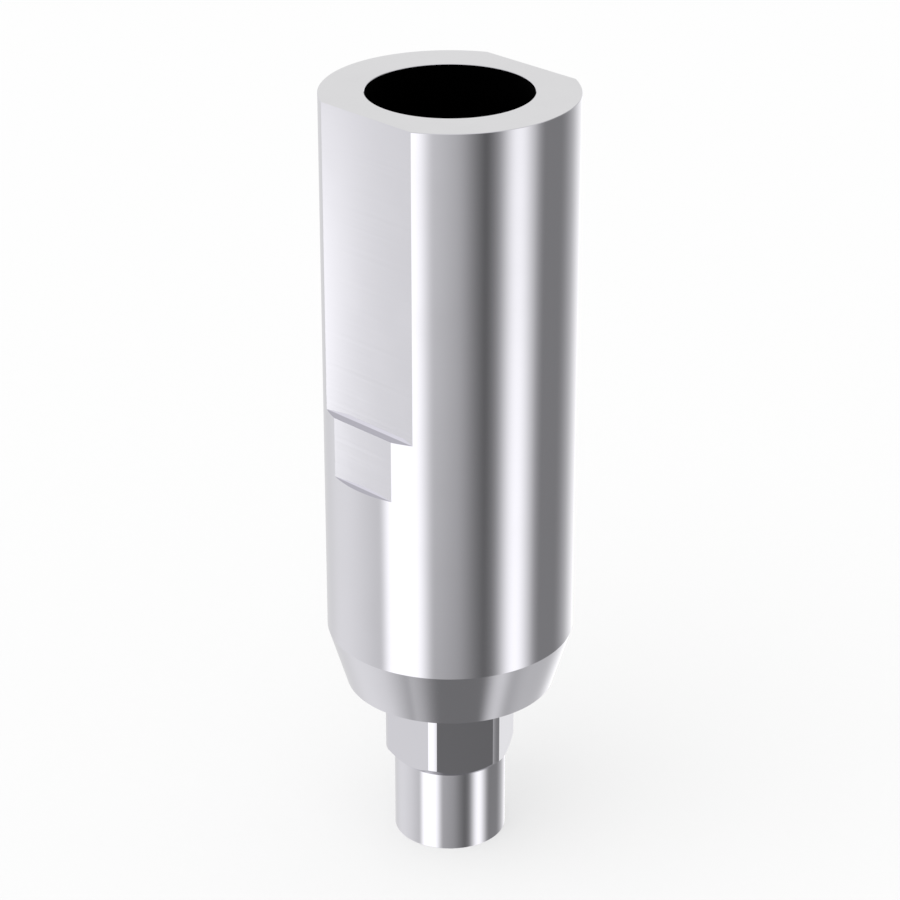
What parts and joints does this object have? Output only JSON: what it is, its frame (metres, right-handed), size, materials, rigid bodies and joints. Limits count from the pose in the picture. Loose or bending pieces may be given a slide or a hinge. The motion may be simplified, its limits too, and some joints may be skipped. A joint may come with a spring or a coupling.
{
  "type": "dental scan body",
  "caption": "Polished titanium scan body: round body with an index flat, a shallow step and a back flat, a taper to the seating collar, a hexagon and a guide pin, bored for a screw.",
  "frame": {"origin": "centre of the seating face that lands on the implant", "axes": "+Z along the axis from the implant towards the open top; the index flat and one flat of the hexagon face -Y"},
  "size_m": [0.005, 0.005, 0.0161],
  "materials": {
    "polished_titanium": "polished"
  },
  "bodies": {
    "root": {"scan_body": "polished_titanium"}
  },
  "joints": []
}
